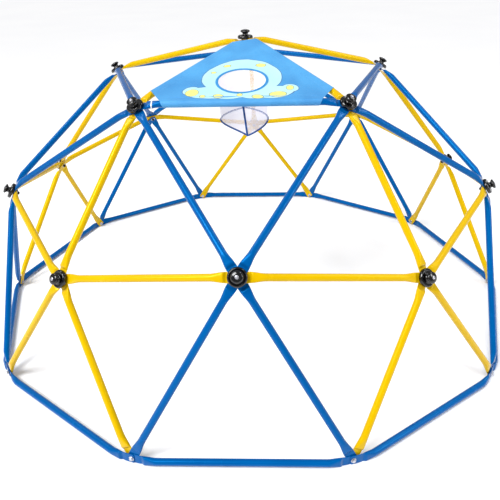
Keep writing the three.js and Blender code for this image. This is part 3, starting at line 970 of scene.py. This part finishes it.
insets = (SEAM_INSIDE - 0.003, SEAM_INSIDE)
rows = [stitch_row(inset_edge(plan, inset)) for plan in edge_plans for inset in insets]
around = np.linspace(0, 2 * np.pi, 240)
rows += [stitch_row(mouth_edge(around, 0.0115))]
thread = stitches("panel_stitches", rows, thread_cloth)

angle = np.linspace(0, 2 * np.pi, 160, endpoint=False)
tape_plan = np.column_stack([mouth_edge(angle, 0.0045), np.full(160, mouth_level)])
outwards = unit(from_plan(tape_plan) - from_plan(np.array([0, MOUTH_UP, mouth_level])))
tape = loft(
    "mouth_binding",
    cord_along(from_plan(tape_plan), 0.0019, outwards, closed=True, sides=14, flatten=2.75),
    tape_cloth,
    closed_path=True,
)


def tie_band(name, tube, from_bolt):
    """A white elastic band: a flat cord carried once round the oval part of a tube's end."""
    _, tab_way, bend = tube_end(tube, 0)
    run = unit(tube["axis"][1] - tube["axis"][0])
    across = unit(np.cross(joints[tube["joints"][0]]["normal"], tab_way))
    thick = unit(np.cross(run, across))
    x, y, opening = outline(np.array([from_bolt - TAB_BEND]))
    centre = bend + run * (from_bolt - TAB_BEND) + thick * opening * TAB_INSIDE
    path = centre + 1.07 * x[0][:, None] * across + 1.10 * y[0][:, None] * thick
    rings = cord_along(path, 0.0006, run, closed=True, flatten=4.0)
    return loft(name, rings, white_webbing, closed_path=True)


tie = tie_band("corner_tie", front_tube, 0.061)
print("stitches:", len(thread.data.polygons) // 8)

# %% [markdown]
# ## Net pouch
# A bag of open net hangs from the mouth and catches what is thrown in. It starts as the mouth's
# oval and ends as a lens with a sharp corner in front and behind, which hangs deeper in front.
# Between them the outline is |x/a|^p + |y/b|^q = 1, where both powers are 2 at the mouth and move
# to 1.1 and 2.2 at the bottom. Hanging cloth draws in between its seams, so the walls are pulled
# inwards a little at half height, and the left front edge is pulled nearly straight. Dark piping
# covers the seam round the bottom and the seam that runs up at the front.

# %% pouch shape
POUCH_DEPTH = 0.147
POUCH_FRONT_DROP = 0.016
POUCH_WAIST = 0.035
POUCH_SWAY = 0.005
POUCH_CORNER_SWAY = 0.014
POUCH_TUCK = 0.14
FLOOR_SAG = 0.006
POUCH_COLUMNS = 96
POUCH_ROWS = 26
FLOOR_ROWS = 12
NET_COLUMN_STEP = 0.0055


def pouch_point(share, angle, inwards=1.0):
    """A point of the pouch's wall: its share of the way down, and its direction round the mouth."""
    cosine, sine = np.cos(angle), np.sin(angle)
    side = np.sign(cosine) * np.abs(cosine) ** (2 / (2 - 0.9 * share))
    fore = np.sign(sine) * np.abs(sine) ** (2 / (2 + 0.2 * share))
    waist = 1 - POUCH_WAIST * np.sin(np.pi * share) * np.abs(cosine * sine) * 2
    waist = waist - POUCH_TUCK * share * 2 * np.clip(-cosine, 0, 1) * np.clip(-sine, 0, 1)
    half_x, half_y = MOUTH_HALF + 0.001
    sway = share * (POUCH_SWAY + POUCH_CORNER_SWAY * np.clip(-sine, 0, 1) ** 2)
    across = half_x * side * waist * inwards + sway
    up = half_y * fore * waist * inwards
    plan = np.stack([across, up + MOUTH_UP, np.full_like(up, mouth_level - 0.0012)], axis=-1)
    drop = share * (POUCH_DEPTH + POUCH_FRONT_DROP * np.clip(-sine, 0, 1) ** 2)
    return from_plan(plan) - drop[..., None] * np.array([0, 0, 1.0])


down = np.linspace(0, 1, POUCH_ROWS + 1)[:, None]
around = (np.arange(POUCH_COLUMNS) / POUCH_COLUMNS * 2 * np.pi)[None]
wall = pouch_point(down + 0 * around, around + 0 * down)
inwards = np.linspace(1, 0.02, FLOOR_ROWS + 1)[1:, None]
floor_rows = pouch_point(np.ones((FLOOR_ROWS, 1)) + 0 * around, around + 0 * inwards, inwards)
floor_rows[..., 2] -= FLOOR_SAG * np.sin(np.pi * inwards / 2) * (1 - inwards)
pouch_rows = np.concatenate([wall, floor_rows])
print("pouch rows:", pouch_rows.shape[0], "lowest point:", round(float(pouch_rows[..., 2].min()), 3))

# %% [markdown]
# ### Net
# The net is knitted from thin thread with holes one to two millimetres wide. Modelling each hole
# would take hundreds of thousands of faces, so transparency cuts them. Each point carries its
# distance round and down the bag in metres. Along two crossed diagonals, the share of each
# pitch that the thread fills is solid, and the rest lets light through.


# %% net material and pouch
def net_cloth(pitch=0.0026, filled=0.30):
    """Solid where either diagonal's place within the pitch is less than the filled share."""
    net = Finish("pouch_net", paint(252, 248, 254), 0.75)
    strand = net.add("ShaderNodeAttribute", attribute_name="strand").outputs["Vector"]
    parts = net.add("ShaderNodeSeparateXYZ")
    net.join(strand, parts.inputs[0])
    solid = None
    for way in ("ADD", "SUBTRACT"):
        diagonal = net.math(way, parts.outputs[0], parts.outputs[1])
        within = net.math("FRACT", net.math("MULTIPLY", diagonal, 1 / pitch))
        thread = net.math("LESS_THAN", within, filled)
        solid = thread if solid is None else net.math("MAXIMUM", solid, thread)
    net.join(solid, net.shader.inputs["Alpha"])
    net.color(net.blend(net.spread(net.noise(30.0), 0.35, 0.7), paint(253, 248, 254), paint(240, 232, 244)))
    net.set(Sheen_Weight=0.2)
    return net.material


def build_pouch(material):
    """Wall and floor rows as one sheet, closed in the middle of the floor by one small face."""
    rows, columns, _ = pouch_rows.shape
    faces = grid_quads(rows, columns, wrap_columns=True)[:, ::-1].tolist()
    faces.append(list(range((rows - 1) * columns, rows * columns))[::-1])
    piece = make_piece("toss_pouch_net", pouch_rows.reshape(-1, 3), faces, material, sharp=80)
    steps_down = np.linalg.norm(np.diff(pouch_rows, axis=0), axis=2).mean(axis=1)
    reach = np.concatenate([[0], np.cumsum(steps_down)])
    girth = np.arange(columns) * NET_COLUMN_STEP
    strand = np.zeros((rows, columns, 3))
    strand[..., 0], strand[..., 1] = girth[None], reach[:, None]
    attribute = piece.data.attributes.new("strand", "FLOAT_VECTOR", "POINT")
    attribute.data.foreach_set("vector", strand.astype(np.float32).ravel())
    return piece


pouch = build_pouch(net_cloth())
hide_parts("toss_pouch")

# %% pouch piping
rim_angle = np.arange(192) / 192 * 2 * np.pi
rim = pouch_point(np.ones(192), rim_angle)
bottom_cord = cord_along(rim, 0.0034, np.array([0, 0, 1.0]), closed=True)
bottom_piping = loft("pouch_piping_bottom", bottom_cord, piping_cloth, closed_path=True)
seam_path = pouch_point(np.linspace(0.01, 1, 40), np.full(40, -np.pi / 2))
front_cord = cord_along(seam_path, 0.0038, np.array([1.0, 0, 0]))
front_piping = loft("pouch_piping_front", front_cord, piping_cloth)
print("piping pieces: 2")


# %% sheets and their flat sizes
def mesh_area(piece):
    """The sum of the areas of a mesh's faces, in square metres."""
    areas = np.zeros(len(piece.data.polygons))
    piece.data.polygons.foreach_get("area", areas)
    return float(areas.sum())


print("areas:", round(mesh_area(panel), 4), round(mesh_area(pouch), 4))

# %% [markdown]
# ## Floor and light
# A pale floor that runs on past the view, a bright surround, and soft light. The key is a sun
# whose disc is made 28 degrees wide, so its shadows melt away and the floor is evenly lit out to
# the horizon. Two long soft boxes, one on each side, draw the narrow highlights on the tubes, and
# two square ones light the dome from high up at either side.


# %% floor and lights
def floor():
    """A wide flat square, far larger than the view."""
    half = 80.0
    corners = np.array([[-half, -half, 0], [half, -half, 0], [half, half, 0], [-half, half, 0]])
    pale = Finish("pale_floor", paint(250, 250, 251), 0.9)
    pale.color(pale.blend(pale.spread(pale.noise(0.6), 0.3, 0.7), paint(250, 250, 251), paint(247, 247, 249)))
    pale.set(Specular_IOR_Level=0.1)
    mesh = bpy.data.meshes.new("floor")
    mesh.from_pydata(corners.tolist(), [], [(0, 1, 2, 3)])
    mesh.materials.append(pale.material)
    ground = bpy.data.objects.new("floor", mesh)
    bpy.context.collection.objects.link(ground)


def aim_light(data, place):
    """Puts a light at a place, looking at the middle of the dome."""
    light = bpy.data.objects.new(data.name, data)
    bpy.context.collection.objects.link(light)
    back = unit(np.array(place) - [0, 0, 0.5])
    right = unit(np.cross([0, 0, 1], back))
    matrix = np.eye(4)
    matrix[:3, :3] = np.column_stack([right, np.cross(back, right), back])
    matrix[:3, 3] = place
    light.matrix_world = Matrix(matrix.tolist())


def soft_sun(name, place, strength, width):
    """A sun of a given strength in watts per square metre, whose disc is a number of degrees wide."""
    data = bpy.data.lights.new(name, "SUN")
    data.energy, data.angle = strength, np.radians(width)
    aim_light(data, place)


def soft_box(name, place, width, height, power):
    """An upright rectangle of light."""
    data = bpy.data.lights.new(name, "AREA")
    data.shape = "RECTANGLE"
    data.size, data.size_y, data.energy = width, height, power
    aim_light(data, place)


floor()
soft_sun("key_sun", (-2.2, -3.0, 5.2), 2.7, 28)
soft_box("left_box", (-3.2, -3.0, 3.6), 0.7, 2.6, 85)
soft_box("right_box", (4.2, -2.0, 2.8), 0.6, 2.6, 60)
soft_box("top_left_box", (-2.9, 0.7, 4.6), 1.2, 1.2, 34)
soft_box("top_right_box", (2.9, 0.7, 4.6), 1.2, 1.2, 34)
world = bpy.data.worlds.new("surround")
world.use_nodes = True
world.node_tree.nodes["Background"].inputs["Color"].default_value = (1, 1, 1, 1)
world.node_tree.nodes["Background"].inputs["Strength"].default_value = 0.36
bpy.context.scene.world = world
print("lights and floor ready")

# %% end
print("done")
